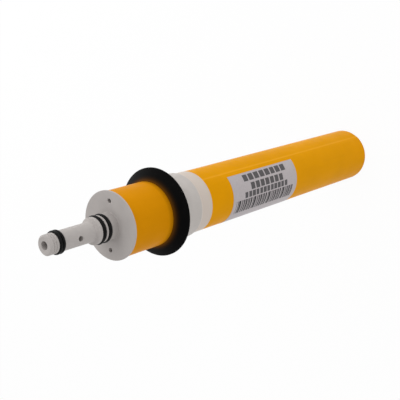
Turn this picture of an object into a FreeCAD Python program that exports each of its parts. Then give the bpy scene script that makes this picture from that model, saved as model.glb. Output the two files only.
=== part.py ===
import FreeCAD, Part

import math
import os
import re

import Sketcher

# Spiral-wound reverse osmosis membrane element, in millimetres, +Z up along its axis.
# It stands on its open feed end, at z = 0. The end cap and its product stem point up.
# The stem's side port faces -Y, and the two brine holes of the cap lie on the X axis.

# The driving dimensions: name, value, meaning. A name is also the alias of its cell.
DIMENSIONS = (
    ("roll_radius", 24.4, "outside of the wound leaves"),
    ("roll_face", 1.0, "height of the roll's feed face"),
    ("roll_top", 334.0, "height of the roll's brine face"),
    ("turn_pitch", 1.6, "step from one turn of the leaves to the next"),
    ("turn_gap", 0.4, "open feed channel between two turns"),
    ("turn_depth", 1.0, "how deep the channel is cut into the feed face"),
    ("first_turn_radius", 9.6, "start of the innermost channel"),
    ("wrap_radius", 25.4, "outside of the long wrap"),
    ("wrap_top", 252.6, "height where the long wrap meets the carrier"),
    ("shoulder_radius", 3.3, "rounding where the wrap folds over the feed end"),
    ("fold_radius", 21.0, "free edge of the fold"),
    ("spigot_radius", 25.45, "small diameter of the seal carrier"),
    ("carrier_radius", 26.7, "large diameter of the seal carrier"),
    ("carrier_step", 267.4, "height where the large diameter starts"),
    ("carrier_slope", 3.0, "length of the slope between the two diameters"),
    ("carrier_top", 300.5, "height where the carrier meets the sleeve"),
    ("seat_radius", 25.4, "floor of the seat that the brine seal grips"),
    ("seat_bottom", 289.0, "height of the seat's shoulder"),
    ("band_radius", 27.4, "outside of the seal's gripping band"),
    ("band_edge", 1.0, "front edge of the band above its seat"),
    ("lip_radius", 35.7, "free radius of the seal's lip"),
    ("lip_top", 293.7, "height where the lip's front cone reaches its rim"),
    ("lip_land", 1.6, "height of the rim"),
    ("lip_edge", 0.9, "width of the rim's rear face"),
    ("cup_floor", 297.8, "height of the cup's floor behind the lip"),
    ("rubber_round", 0.45, "rounding of the lip's edges"),
    ("sleeve_radius", 26.0, "outside of the short sleeve"),
    ("cap_face", 343.0, "height of the cap's front face"),
    ("flange_radius", 27.05, "outside of the cap's flange"),
    ("flange_thickness", 1.2, "thickness of the cap's flange"),
    ("flange_round", 0.5, "rounding of the flange's front edge"),
    ("plate_thickness", 5.0, "thickness of the cap's plate"),
    ("skirt_bore", 22.4, "inside of the cap's skirt"),
    ("hub_radius", 11.5, "hub around the tube socket, inside the cap"),
    ("socket_top", 348.0, "height where the tube socket ends"),
    ("brine_hole_radius", 1.75, "small holes that let the brine out"),
    ("brine_hole_offset", 19.2, "distance of a brine hole from the axis"),
    ("collar_radius", 10.4, "collar at the root of the stem"),
    ("collar_top", 362.05, "height of the collar's front edge"),
    ("collar_slope", 1.25, "height of the collar's sloping front"),
    ("collar_root_round", 0.7, "fillet between collar and plate"),
    ("shaft_radius", 7.65, "stem between its two seal positions"),
    ("stem_top", 405.5, "height of the stem's tip"),
    ("tip_bevel_height", 1.0, "bevel at the tip, along the axis"),
    ("tip_bevel_width", 1.2, "bevel at the tip, across the axis"),
    ("bore_radius", 3.2, "product bore of the stem"),
    ("bore_bevel", 0.3, "bevel at the mouth of the product bore"),
    ("rib_width", 0.8, "width of a fine groove on the nose"),
    ("rib_depth", 0.4, "depth of a fine groove on the nose"),
    ("lower_rib", 400.4, "height of the lower fine groove"),
    ("upper_rib", 402.5, "height of the upper fine groove"),
    ("side_port_radius", 2.1, "cross hole from the stem's side into its bore"),
    ("side_port_height", 378.45, "height of the side port"),
    ("base_cord", 3.53, "section of the two O-rings on the collar"),
    ("tip_cord", 2.62, "section of the two O-rings near the tip"),
    ("gland_width", 3.9, "width of a groove that holds one O-ring"),
    ("double_gland_width", 5.3, "width of the groove that holds two O-rings"),
    ("base_gland_floor", 7.72, "floor radius of the grooves on the collar"),
    ("tip_gland_floor", 6.28, "floor radius of the groove near the tip"),
    ("rear_base_ring", 351.75, "height of the collar's rear O-ring"),
    ("front_base_ring", 357.5, "height of the collar's front O-ring"),
    ("tip_gland", 395.3, "height of the middle of the tip groove"),
    ("tube_radius", 8.5, "outside of the product tube"),
    ("tube_bore", 6.2, "inside of the product tube"),
    ("tube_bottom", 3.0, "height of the tube's plugged end"),
    ("tube_bevel", 0.6, "lead-in at the tube's upper end"),
    ("perforation_radius", 1.2, "holes that let the product into the tube"),
    ("perforation_pitch", 36.0, "step between holes of one row"),
    ("perforation_start", 30.0, "height of the lowest hole"),
    ("plug_length", 12.0, "part of the plug inside the tube"),
    ("plug_bevel", 1.0, "lead-in of the plug"),
    ("label_length", 94.5, "label, along the element"),
    ("label_width", 53.0, "label, around the element"),
    ("label_thickness", 0.15, "label, through its sheet"),
    ("label_height", 177.15, "height of the label's middle"),
    ("label_bearing", 256.2, "angle of the label's middle from +X, in degrees"),
)

BRINE_HOLE_COUNT = 2
PERFORATIONS_IN_ROW = 9
SPIRAL_TURNS = 7

# How a sketch numbers the ends and middle of its geometry, its origin and its two axes.
START, END, CENTRE = 1, 2, 3
ORIGIN = (-1, START)
LEVEL_AXIS, UPRIGHT_AXIS = -1, -2


def make_sheet(doc):
    """Put every driving dimension in a spreadsheet, one row each."""
    sheet = doc.addObject("Spreadsheet::Sheet", "Sizes")
    for row, (alias, size, meaning) in enumerate(DIMENSIONS, start=1):
        sheet.set(f"A{row}", meaning)
        sheet.set(f"B{row}", str(size))
        sheet.setAlias(f"B{row}", alias)
    doc.recompute()
    return sheet


def bound(text):
    """Turn the bare dimension names of a formula into references to the sheet."""
    return re.sub(r"[a-z_]+", r"Sizes.\g<0>", text)


def value(thing, text):
    """The number that a formula of dimension names gives now."""
    return float(thing.evalExpression(bound(text)))


def new_body(doc, label):
    body = doc.addObject("PartDesign::Body", label)
    body.Label = label
    return body


def origin_item(body, role):
    """One of the body's own origin planes or axes."""
    return next(item for item in body.Origin.OriginFeatures if item.Role == role)


def new_sketch(body, name, role="XZ_Plane"):
    """A sketch on one of the body's own origin planes."""
    sketch = body.newObject("Sketcher::SketchObject", name)
    sketch.AttachmentSupport = (origin_item(body, role), [""])
    sketch.MapMode = "FlatFace"
    return sketch


def pin_point(sketch, point, across, up):
    """Hold a sketch point at the place that two formulas give, measured from the origin."""
    for kind, text, axis in (("DistanceX", across, UPRIGHT_AXIS), ("DistanceY", up, LEVEL_AXIS)):
        if text == "0":
            sketch.addConstraint(Sketcher.Constraint("PointOnObject", *point, axis))
            continue
        size = value(sketch, text)
        index = sketch.addConstraint(Sketcher.Constraint(kind, *ORIGIN, *point, size))
        sketch.setExpression(f"Constraints[{index}]", bound(text))


def draw_outline(sketch, corners):
    """Draw a closed outline whose corners are pairs of formulas: across, up."""
    points = [
        FreeCAD.Vector(value(sketch, across), value(sketch, up), 0)
        for across, up in corners
    ]
    ends = points[1:] + points[:1]
    sides = [Part.LineSegment(start, end) for start, end in zip(points, ends)]
    sketch.addGeometry(sides, False)
    last = len(sides) - 1
    joins = [
        Sketcher.Constraint("Coincident", side, END, 0 if side == last else side + 1, START)
        for side in range(len(sides))
    ]
    sketch.addConstraint(joins)
    for side, (across, up) in enumerate(corners):
        pin_point(sketch, (side, START), across, up)


def draw_circle(sketch, across, up, radius):
    """Draw a circle with its middle and radius given by formulas."""
    middle = FreeCAD.Vector(value(sketch, across), value(sketch, up), 0)
    circle = Part.Circle(middle, FreeCAD.Vector(0, 0, 1), value(sketch, radius))
    circle_index = sketch.addGeometry(circle, False)
    pin_point(sketch, (circle_index, CENTRE), across, up)
    size = Sketcher.Constraint("Radius", circle_index, value(sketch, radius))
    index = sketch.addConstraint(size)
    sketch.setExpression(f"Constraints[{index}]", bound(radius))


def turn(body, name, corners, kind="PartDesign::Revolution"):
    """Revolve an outline of (radius, height) corners about the element's axis."""
    sketch = new_sketch(body, f"{name}_outline")
    draw_outline(sketch, corners)
    feature = body.newObject(kind, name)
    feature.Profile = sketch
    feature.ReferenceAxis = (sketch, ["V_Axis"])
    feature.Angle = 360
    body.Tip = feature
    return feature


def cut_groove(body, name, floor, mouth, middle, width):
    """Turn a square groove into the body, from its mouth down to its floor."""
    low = f"{middle} - {width} / 2"
    high = f"{middle} + {width} / 2"
    corners = [(floor, low), (mouth, low), (mouth, high), (floor, high)]
    turn(body, name, corners, "PartDesign::Groove")


def cut_fine_groove(body, name, middle):
    """Turn a shallow groove of triangular section into the stem's nose."""
    corners = [
        ("shaft_radius - rib_depth", middle),
        ("shaft_radius + rib_depth", f"{middle} - rib_width"),
        ("shaft_radius + rib_depth", f"{middle} + rib_width"),
    ]
    turn(body, name, corners, "PartDesign::Groove")


def ring_edges(feature, rings):
    """Names of the circular edges of a feature that have the given radii and heights."""
    names = []
    for radius, height in rings:
        for index, edge in enumerate(feature.Shape.Edges, start=1):
            curve = edge.Curve
            if not isinstance(curve, Part.Circle) or not edge.isClosed():
                continue
            same_radius = abs(curve.Radius - value(feature, radius)) < 1e-4
            same_height = abs(curve.Center.z - value(feature, height)) < 1e-4
            if same_radius and same_height:
                names.append(f"Edge{index}")
    return names


def dress(body, kind, name, rings, size_name, size):
    """Add a fillet or a chamfer on circular edges of the body's tip."""
    base = body.Tip
    body.Document.recompute()
    feature = body.newObject(kind, name)
    feature.Base = (base, ring_edges(base, rings))
    feature.setExpression(size_name, bound(size))
    body.Tip = feature
    return feature


def round_edges(body, name, rings, radius):
    return dress(body, "PartDesign::Fillet", name, rings, "Radius", radius)


def bevel_edges(body, name, rings, size):
    return dress(body, "PartDesign::Chamfer", name, rings, "Size", size)


def make_cap(doc):
    """End cap, its skirt and hub, and the stepped product stem, moulded as one piece."""
    body = new_body(doc, "head_cap")
    turn(body, "moulding", [
        ("skirt_bore", "roll_top"),
        ("roll_radius", "roll_top"),
        ("roll_radius", "cap_face - flange_thickness"),
        ("flange_radius", "cap_face - flange_thickness"),
        ("flange_radius", "cap_face"),
        ("collar_radius", "cap_face"),
        ("collar_radius", "collar_top"),
        ("shaft_radius", "collar_top + collar_slope"),
        ("shaft_radius", "stem_top - tip_bevel_height"),
        ("shaft_radius - tip_bevel_width", "stem_top"),
        ("bore_radius", "stem_top"),
        ("bore_radius", "socket_top"),
        ("tube_radius", "socket_top"),
        ("tube_radius", "roll_top"),
        ("hub_radius", "roll_top"),
        ("hub_radius", "cap_face - plate_thickness"),
        ("skirt_bore", "cap_face - plate_thickness"),
    ])
    for name, middle in (("rear_gland", "rear_base_ring"), ("front_gland", "front_base_ring")):
        cut_groove(body, name, "base_gland_floor", "hub_radius", middle, "gland_width")
    cut_groove(body, "tip_groove", "tip_gland_floor", "tube_radius", "tip_gland", "double_gland_width")
    for middle in ("lower_rib", "upper_rib"):
        cut_fine_groove(body, f"{middle}_groove", middle)
    round_edges(body, "flange_rounding", [("flange_radius", "cap_face")], "flange_round")
    round_edges(body, "collar_root", [("collar_radius", "cap_face")], "collar_root_round")
    bevel_edges(body, "bore_mouth", [("bore_radius", "stem_top")], "bore_bevel")
    cut_brine_holes(body)
    cut_side_port(body)
    return body


def cut_brine_holes(body):
    """Two holes through the cap's plate, opposite each other on the X axis."""
    sketch = new_sketch(body, "brine_hole_outline", "XY_Plane")
    sketch.setExpression("AttachmentOffset.Base.z", bound("cap_face"))
    draw_circle(sketch, "brine_hole_offset", "0", "brine_hole_radius")
    hole = body.newObject("PartDesign::Pocket", "brine_hole")
    hole.Profile = sketch
    hole.setExpression("Length", bound("plate_thickness + 1"))
    pattern = body.newObject("PartDesign::PolarPattern", "brine_holes")
    pattern.Originals = [hole]
    pattern.Axis = (origin_item(body, "Z_Axis"), [""])
    pattern.Angle = 360
    pattern.Occurrences = BRINE_HOLE_COUNT
    body.Tip = pattern


def cut_side_port(body):
    """A cross hole from the -Y side of the stem into its bore."""
    sketch = new_sketch(body, "side_port_outline")
    draw_circle(sketch, "0", "side_port_height", "side_port_radius")
    port = body.newObject("PartDesign::Pocket", "side_port")
    port.Profile = sketch
    port.setExpression("Length", bound("shaft_radius + 1"))
    port.Reversed = True
    body.Tip = port


def make_o_rings(doc):
    """Four O-rings, each seated on the floor of its groove."""
    half_step = "double_gland_width / 4"
    rings = (
        ("base_o_ring_rear", "base_gland_floor", "base_cord", "rear_base_ring"),
        ("base_o_ring_front", "base_gland_floor", "base_cord", "front_base_ring"),
        ("tip_o_ring_rear", "tip_gland_floor", "tip_cord", f"tip_gland - {half_step}"),
        ("tip_o_ring_front", "tip_gland_floor", "tip_cord", f"tip_gland + {half_step}"),
    )
    nodes = []
    for label, floor, cord, height in rings:
        ring = doc.addObject("Part::Torus", label)
        ring.Label = label
        ring.setExpression("Radius1", bound(f"{floor} + {cord} / 2"))
        ring.setExpression("Radius2", bound(f"{cord} / 2"))
        ring.setExpression("Placement.Base.z", bound(height))
        nodes.append(ring)
    return nodes


def make_sleeve(doc):
    """Short sleeve that joins the cap's skirt to the roll."""
    body = new_body(doc, "near_wrap")
    turn(body, "sleeve", [
        ("roll_radius", "carrier_top"),
        ("sleeve_radius", "carrier_top"),
        ("sleeve_radius", "cap_face - flange_thickness"),
        ("roll_radius", "cap_face - flange_thickness"),
    ])
    return body


def make_carrier(doc):
    """Stepped ring on the roll, with the seat that the brine seal grips."""
    body = new_body(doc, "seal_carrier")
    turn(body, "ring", [
        ("roll_radius", "wrap_top"),
        ("spigot_radius", "wrap_top"),
        ("spigot_radius", "carrier_step - carrier_slope"),
        ("carrier_radius", "carrier_step"),
        ("carrier_radius", "seat_bottom"),
        ("seat_radius", "seat_bottom"),
        ("seat_radius", "carrier_top"),
        ("roll_radius", "carrier_top"),
    ])
    return body


def make_seal(doc):
    """Lip seal: a band that grips its seat, and a cone that flares towards the feed end."""
    body = new_body(doc, "brine_seal")
    turn(body, "rubber", [
        ("seat_radius", "carrier_top"),
        ("seat_radius + band_edge", "carrier_top"),
        ("lip_radius", "lip_top"),
        ("lip_radius", "lip_top - lip_land"),
        ("lip_radius - lip_edge", "lip_top - lip_land"),
        ("band_radius", "cup_floor"),
        ("band_radius", "seat_bottom"),
        ("seat_radius", "seat_bottom"),
    ])
    rim = [("lip_radius", "lip_top"), ("lip_radius", "lip_top - lip_land")]
    round_edges(body, "rim_rounding", rim, "rubber_round")
    round_edges(body, "cup_rounding", [("band_radius", "cup_floor")], "rubber_round * 2")
    return body


def make_long_wrap(doc):
    """Long wrap around the roll, folded over the edge of its feed face."""
    body = new_body(doc, "far_wrap")
    turn(body, "wrap", [
        ("fold_radius", "0"),
        ("wrap_radius", "0"),
        ("wrap_radius", "wrap_top"),
        ("roll_radius", "wrap_top"),
        ("roll_radius", "roll_face"),
        ("fold_radius", "roll_face"),
    ])
    round_edges(body, "outer_shoulder", [("wrap_radius", "0")], "shoulder_radius")
    inner_radius = "shoulder_radius - roll_face"
    round_edges(body, "inner_shoulder", [("roll_radius", "roll_face")], inner_radius)
    return body


def half_turns(first, pitch, turns):
    """Tangent half circles that follow each other as a spiral, as (middle, radius, upper)."""
    arcs = []
    for step in range(2 * turns):
        middle = 0.0 if step % 2 == 0 else pitch / 2
        arcs.append((middle, first + step * pitch / 2, step % 2 == 0))
    return arcs


def half_circle(middle, radius, upper):
    start = 0.0 if upper else math.pi
    circle = Part.Circle(FreeCAD.Vector(middle, 0, 0), FreeCAD.Vector(0, 0, 1), radius)
    return Part.ArcOfCircle(circle, start, start + math.pi)


def draw_spiral_channel(sketch, sheet):
    """Draw the channel between the turns: two equal spirals, a gap apart, closed at both ends."""
    arcs = half_turns(sheet.first_turn_radius, sheet.turn_pitch, SPIRAL_TURNS)
    inner = [half_circle(*arc) for arc in arcs]
    outer = [half_circle(middle, radius + sheet.turn_gap, upper) for middle, radius, upper in arcs]
    caps = [
        Part.LineSegment(inner[0].StartPoint, outer[0].StartPoint),
        Part.LineSegment(inner[-1].EndPoint, outer[-1].EndPoint),
    ]
    shape = inner + outer + caps
    sketch.addGeometry(shape, False)
    sketch.addConstraint([Sketcher.Constraint("Block", index) for index in range(len(shape))])


def make_roll(doc, sheet):
    """Leaves wound on the tube, with the spiral of their turns showing on the feed face."""
    body = new_body(doc, "membrane_roll")
    turn(body, "winding", [
        ("tube_radius", "roll_face"),
        ("roll_radius", "roll_face"),
        ("roll_radius", "roll_top"),
        ("tube_radius", "roll_top"),
    ])
    inner_radius = "shoulder_radius - roll_face"
    round_edges(body, "roll_shoulder", [("roll_radius", "roll_face")], inner_radius)
    sketch = new_sketch(body, "channel_outline", "XY_Plane")
    sketch.setExpression("AttachmentOffset.Base.z", bound("roll_face"))
    draw_spiral_channel(sketch, sheet)
    channel = body.newObject("PartDesign::Pocket", "feed_channel")
    channel.Profile = sketch
    channel.setExpression("Length", bound("turn_depth"))
    channel.Reversed = True
    body.Tip = channel
    return body


def drill_row(body, name, plane, start, count):
    """Drill a row of holes right through the tube, one step apart along its axis."""
    sketch = new_sketch(body, f"{name}_outline", plane)
    draw_circle(sketch, "0", start, "perforation_radius")
    hole = body.newObject("PartDesign::Pocket", f"{name}_hole")
    hole.Profile = sketch
    hole.Midplane = True
    hole.setExpression("Length", bound("tube_radius * 2 + 2"))
    pattern = body.newObject("PartDesign::LinearPattern", name)
    pattern.Originals = [hole]
    pattern.Direction = (origin_item(body, "Z_Axis"), [""])
    pattern.setExpression("Length", bound(f"perforation_pitch * {count - 1}"))
    pattern.Occurrences = count
    body.Tip = pattern


def make_tube(doc):
    """Product tube in the middle of the roll, drilled crosswise in two directions."""
    body = new_body(doc, "permeate_tube")
    turn(body, "tube", [
        ("tube_bore", "tube_bottom"),
        ("tube_radius", "tube_bottom"),
        ("tube_radius", "socket_top"),
        ("tube_bore", "socket_top"),
    ])
    bevel_edges(body, "lead_in", [("tube_radius", "socket_top")], "tube_bevel")
    half_pitch = "perforation_start + perforation_pitch / 2"
    drill_row(body, "front_row", "XZ_Plane", "perforation_start", PERFORATIONS_IN_ROW)
    drill_row(body, "side_row", "YZ_Plane", half_pitch, PERFORATIONS_IN_ROW - 1)
    return body


def make_plug(doc):
    """Plug that closes the product tube at the feed end."""
    body = new_body(doc, "tube_plug")
    turn(body, "plug", [
        ("0", "roll_face"),
        ("tube_radius", "roll_face"),
        ("tube_radius", "tube_bottom"),
        ("tube_bore", "tube_bottom"),
        ("tube_bore", "tube_bottom + plug_length"),
        ("0", "tube_bottom + plug_length"),
    ])
    tip = [("tube_bore", "tube_bottom + plug_length")]
    bevel_edges(body, "plug_lead_in", tip, "plug_bevel")
    return body


def label_face(sheet):
    """A rectangle wrapped on the long wrap, square to the axis."""
    surface = Part.Cylinder()
    surface.Radius = sheet.wrap_radius
    half_angle = sheet.label_width / 2 / sheet.wrap_radius
    half_length = sheet.label_length / 2
    corners = []
    for across, along in ((-1, -1), (1, -1), (1, 1), (-1, 1)):
        angle = math.radians(sheet.label_bearing) + across * half_angle
        corners.append(FreeCAD.Base.Vector2d(angle, sheet.label_height + along * half_length))
    sides = [
        Part.Geom2d.Line2dSegment(start, end).toShape(surface)
        for start, end in zip(corners, corners[1:] + corners[:1])
    ]
    face = Part.Face(surface, Part.Wire(sides))
    face.validate()
    return face


def make_label(doc, sheet):
    """Thin sheet stuck on the long wrap."""
    face = doc.addObject("Part::Feature", "label_face")
    face.Shape = label_face(sheet)
    label = doc.addObject("Part::Offset", "label")
    label.Label = "label"
    label.Source = face
    label.setExpression("Value", bound("label_thickness"))
    label.Fill = True
    return label


def check(doc, nodes):
    """Stop on any failed feature, and on any sub-part that is not one valid solid."""
    for item in doc.Objects:
        if "Invalid" in item.State or "Error" in item.State:
            raise RuntimeError(f"{item.Label} failed: {item.State}")
    for node in nodes:
        shape = node.Shape
        if shape.isNull() or not shape.isValid() or len(shape.Solids) != 1:
            raise RuntimeError(f"{node.Label} is not one valid solid")


def main():
    doc = FreeCAD.newDocument("membrane_element")
    sheet = make_sheet(doc)
    nodes = [make_cap(doc), make_sleeve(doc), make_carrier(doc), make_seal(doc)]
    nodes += [make_long_wrap(doc), make_roll(doc, sheet), make_tube(doc), make_plug(doc)]
    nodes += make_o_rings(doc)
    nodes.append(make_label(doc, sheet))
    doc.recompute()
    check(doc, nodes)
    os.makedirs("parts", exist_ok=True)
    for node in nodes:
        node.Shape.exportStep(f"parts/{node.Label}.step")
        print(f"{node.Label}: {node.Shape.Volume:.1f} mm3")


main()
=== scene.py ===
"""Spiral-wound reverse osmosis membrane element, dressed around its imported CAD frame.

The element stands on its open feed end with its cap and product stem up, in metres.
"""

import math

import bmesh
import bpy
from mathutils import Matrix, Vector, noise


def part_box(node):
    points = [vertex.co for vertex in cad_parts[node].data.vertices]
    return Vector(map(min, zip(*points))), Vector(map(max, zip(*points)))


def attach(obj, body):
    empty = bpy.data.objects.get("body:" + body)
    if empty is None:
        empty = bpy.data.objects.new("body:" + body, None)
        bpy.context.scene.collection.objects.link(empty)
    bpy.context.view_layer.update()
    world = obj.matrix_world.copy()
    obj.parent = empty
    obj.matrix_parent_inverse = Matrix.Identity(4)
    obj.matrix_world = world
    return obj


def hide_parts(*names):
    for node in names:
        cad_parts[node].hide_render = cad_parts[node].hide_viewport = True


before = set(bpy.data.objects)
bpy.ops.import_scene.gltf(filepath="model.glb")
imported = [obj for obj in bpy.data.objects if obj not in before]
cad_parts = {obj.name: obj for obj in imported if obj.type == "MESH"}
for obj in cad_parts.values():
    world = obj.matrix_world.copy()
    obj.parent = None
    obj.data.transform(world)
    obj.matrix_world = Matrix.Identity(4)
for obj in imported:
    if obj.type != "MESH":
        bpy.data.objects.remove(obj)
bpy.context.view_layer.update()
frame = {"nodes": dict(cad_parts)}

bl_info = {
    "name": "Membrane Element",
    "version": (1, 0, 0),
    "blender": (4, 5, 0),
    "location": "3D View > Sidebar > Membrane",
    "description": "Models the visible pieces of a reverse osmosis membrane element",
    "category": "Add Mesh",
}

MM = 0.001
BODY = "root"

# How finely round forms are divided.
ROUND_SIDES = 144
FILM_SIDES = 360
RING_SIDES = 28

# Angles under which two faces meet as one smooth surface.
SMOOTH_ANGLE = math.radians(34)

# Painted shade in the corner of stem and cap face: it fades in from the first value to the second.
ROOT_SHADE_HEIGHTS = (352.0 * MM, 343.2 * MM)
ROOT_SHADE_RADII = (15.0 * MM, 10.4 * MM)

# How far the painted film-coloured reflection reaches over the rubber, and how steeply it falls
# off.
REFLECTION_WIDTH = 4.5 * MM
REFLECTION_FALL = 4.5


def base_of(node):
    """Height of the lowest point of a node."""
    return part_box(node)[0].z


def top_of(node):
    """Height of the highest point of a node."""
    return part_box(node)[1].z


def reach_of(node):
    """Largest radius of a node that is round about the upright axis."""
    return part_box(node)[1].x


def length(name, text, millimetres):
    return bpy.props.FloatProperty(
        name=name, description=text, default=millimetres * MM, unit="LENGTH", precision=5, min=0.0)


def framed(name, text, metres):
    """A length whose default comes from the frame."""
    return length(name, text, metres / MM)


def bearing(name, text, degrees):
    return bpy.props.FloatProperty(
        name=name, description=text, default=math.radians(degrees), subtype="ANGLE")


def colour(name, text, red, green, blue):
    return bpy.props.FloatVectorProperty(
        name=name, description=text, default=(red, green, blue), subtype="COLOR", size=3,
        min=0.0, max=1.0)


class CapSizes(bpy.types.PropertyGroup):
    skirt_base: framed("Skirt base", "Height where the cap meets the roll", base_of("head_cap"))
    skirt_bore: length("Skirt bore", "Inside radius of the skirt", 22.4)
    skirt_radius: length("Skirt radius", "Outside radius of the skirt", 24.4)
    face: length("Face", "Height of the cap's front face", 343.0)
    plate: length("Plate", "Thickness of the cap's plate", 5.0)
    flange_radius: length("Flange radius", "Outside radius of the flange", 27.05)
    flange: length("Flange", "Thickness of the flange", 1.2)
    flange_round: length("Flange round", "Rounding of the flange's front edge", 0.5)
    hub_radius: length("Hub radius", "Hub around the tube socket", 11.5)
    socket_radius: length("Socket radius", "Socket that takes the product tube", 8.5)
    socket_top: length("Socket top", "Height where the socket ends", 348.0)
    hole_radius: length("Hole radius", "Brine holes through the plate", 1.75)
    hole_offset: length("Hole offset", "Distance of a brine hole from the axis", 19.2)
    hole_flare: length("Hole flare", "Broken edge at the mouth of a brine hole", 0.22)


class StemSizes(bpy.types.PropertyGroup):
    collar_radius: length("Collar radius", "Collar at the root of the stem", 10.4)
    collar_top: length("Collar top", "Height of the collar's front edge", 362.05)
    collar_slope: length("Collar slope", "Height of the collar's sloping front", 1.25)
    root_round: length("Root round", "Fillet between collar and plate", 0.7)
    shaft_radius: length("Shaft radius", "Stem between its two seal positions", 7.65)
    tip: framed("Tip", "Height of the stem's tip", top_of("head_cap"))
    tip_bevel_height: length("Tip bevel height", "Bevel at the tip, along the axis", 1.0)
    tip_bevel_width: length("Tip bevel width", "Bevel at the tip, across the axis", 1.2)
    bore_radius: length("Bore radius", "Product bore", 3.2)
    bore_bevel: length("Bore bevel", "Bevel at the mouth of the bore", 0.3)
    rib_width: length("Rib width", "Width of a fine groove on the nose", 0.8)
    rib_depth: length("Rib depth", "Depth of a fine groove on the nose", 0.4)
    lower_rib: length("Lower rib", "Height of the lower fine groove", 400.4)
    upper_rib: length("Upper rib", "Height of the upper fine groove", 402.5)
    port_radius: length("Port radius", "Cross hole in the stem", 2.1)
    port_height: length("Port height", "Height of the cross hole", 378.45)


class RingSizes(bpy.types.PropertyGroup):
    base_cord: length("Collar cord", "Section of the collar's O-rings", 3.53)
    tip_cord: length("Tip cord", "Section of the O-rings near the tip", 2.62)
    flash: length("Flash", "Height of the fine mould flash on an O-ring", 0.045)
    groove: length("Groove", "Width of a groove that holds one O-ring", 3.9)
    double_groove: length("Double groove", "Width of the groove that holds two", 5.3)
    base_floor: length("Base floor", "Floor radius of the collar's grooves", 7.72)
    tip_floor: length("Tip floor", "Floor radius of the tip groove", 6.28)
    rear_height: length("Rear height", "Height of the collar's rear O-ring", 351.75)
    front_height: length("Front height", "Height of the collar's front O-ring", 357.5)
    tip_height: length("Tip height", "Height of the middle of the tip groove", 395.3)


class SealSizes(bpy.types.PropertyGroup):
    seat_radius: length("Seat radius", "Floor of the seat that the seal grips", 25.4)
    seat_base: framed("Seat base", "Height of the seat's shoulder", base_of("brine_seal"))
    band_radius: length("Band radius", "Outside of the gripping band", 27.4)
    band_edge: length("Band edge", "Front edge of the band above its seat", 1.0)
    lip_radius: framed("Lip radius", "Free radius of the lip", reach_of("brine_seal"))
    lip_top: length("Lip top", "Height where the front cone reaches the rim", 293.7)
    lip_land: length("Lip land", "Height of the rim", 1.6)
    lip_edge: length("Lip edge", "Width of the rim's rear face", 0.9)
    cup_floor: length("Cup floor", "Height of the cup's floor behind the lip", 297.8)
    edge_round: length("Edge round", "Rounding of the lip's edges", 0.45)


class CarrierSizes(bpy.types.PropertyGroup):
    bore: length("Bore", "Inside radius of the carrier", 24.4)
    spigot_radius: length("Spigot radius", "Small diameter's radius", 25.45)
    radius: framed("Radius", "Large diameter's radius", reach_of("seal_carrier"))
    step: length("Step", "Height where the large diameter starts", 267.4)
    slope: length("Slope", "Length of the slope between the two diameters", 3.0)
    edge_round: length("Edge round", "Rounding of the moulded edges", 0.25)


class FilmSizes(bpy.types.PropertyGroup):
    bore: length("Bore", "Inside radius of both wraps", 24.4)
    sleeve_round: length("Sleeve round", "Rounding of the short sleeve's ends", 0.3)
    shoulder: length("Shoulder", "Rounding where the film folds over the feed end", 3.3)
    fold_radius: length("Fold radius", "Free edge of the fold", 21.0)
    fold_thickness: length("Fold thickness", "Thickness of the folded film", 1.0)
    lap_step: length("Lap step", "Height of the step at the film's free edge", 0.24)
    sleeve_step: length("Sleeve step", "Height of the same step on the short sleeve", 0.144)
    lap_slope: length("Lap slope", "Width of those steps", 1.9)
    lap_bearing: bearing("Lap bearing", "Bearing of the long wrap's free edge from +X", -36.0)
    sleeve_lap_bearing: bearing("Sleeve lap bearing", "Bearing of the sleeve's free edge", 112.0)
    pleat_depth: length("Pleat depth", "Depth of the gathers in the fold", 0.42)
    pleats: bpy.props.IntProperty(
        name="Pleats", description="Gathers in the fold over the feed end", default=26, min=3)


class LabelSizes(bpy.types.PropertyGroup):
    label_length: length("Length", "Label, along the element", 94.5)
    label_width: length("Width", "Label, around the element", 53.0)
    thickness: length("Thickness", "Label, through its sheet", 0.15)
    height: length("Height", "Height of the label's middle", 177.15)
    label_bearing: bearing("Bearing", "Bearing of the label's middle from +X", 256.2)


class Finishes(bpy.types.PropertyGroup):
    moulding: colour("Moulding", "Cap and stem", 0.475, 0.442, 0.424)
    carrier: colour("Carrier", "Seal carrier", 0.551, 0.515, 0.488)
    # The spigot's tint is the carrier's made lighter and warmer: painted reflection of the yellow
    # film next to it.
    spigot_with_reflection: colour("Spigot", "Small diameter of the seal carrier", 0.618, 0.539, 0.478)
    film: colour("Film", "Long wrap of film", 0.756, 0.321, 0.001)
    # The sleeve's tint is darker and more orange than the long wrap's; part of the darkening is
    # painted shade from the brine seal.
    sleeve: colour("Sleeve film", "Short sleeve of film", 0.688, 0.268, 0.001)
    # Painted highlight: a paler tint in a narrow band at the film's free edge.
    edge_highlight: colour("Film edge", "Free edge of the film", 0.84, 0.38, 0.02)
    rubber: colour("Rubber", "Brine seal", 0.0018, 0.0018, 0.0019)
    # Painted reflection: the film's colour drawn on the rubber where it meets the film.
    reflection: colour("Reflection", "Film-coloured bloom on the rubber beside the film", 0.12, 0.044, 0.002)
    o_ring: colour("O-ring", "O-rings", 0.0035, 0.0035, 0.0035)
    paper: colour("Label", "Label stock", 0.49, 0.45, 0.46)
    ink: colour("Ink", "Bars of the print", 0.03, 0.028, 0.03)
    tone: colour("Tone", "Rows of the print", 0.1, 0.094, 0.097)
    leaf: colour("Leaf", "Membrane leaves", 0.62, 0.585, 0.5)
    tube: colour("Tube", "Product tube and its plug", 0.6, 0.59, 0.57)


# Modelling


def start_editing(kind="EDGE"):
    bpy.ops.object.mode_set(mode="EDIT")
    bpy.ops.mesh.select_mode(type=kind)


def clear_selection():
    if bpy.context.object and bpy.context.object.mode != "OBJECT":
        bpy.ops.object.mode_set(mode="OBJECT")
    bpy.ops.object.select_all(action="DESELECT")


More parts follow.
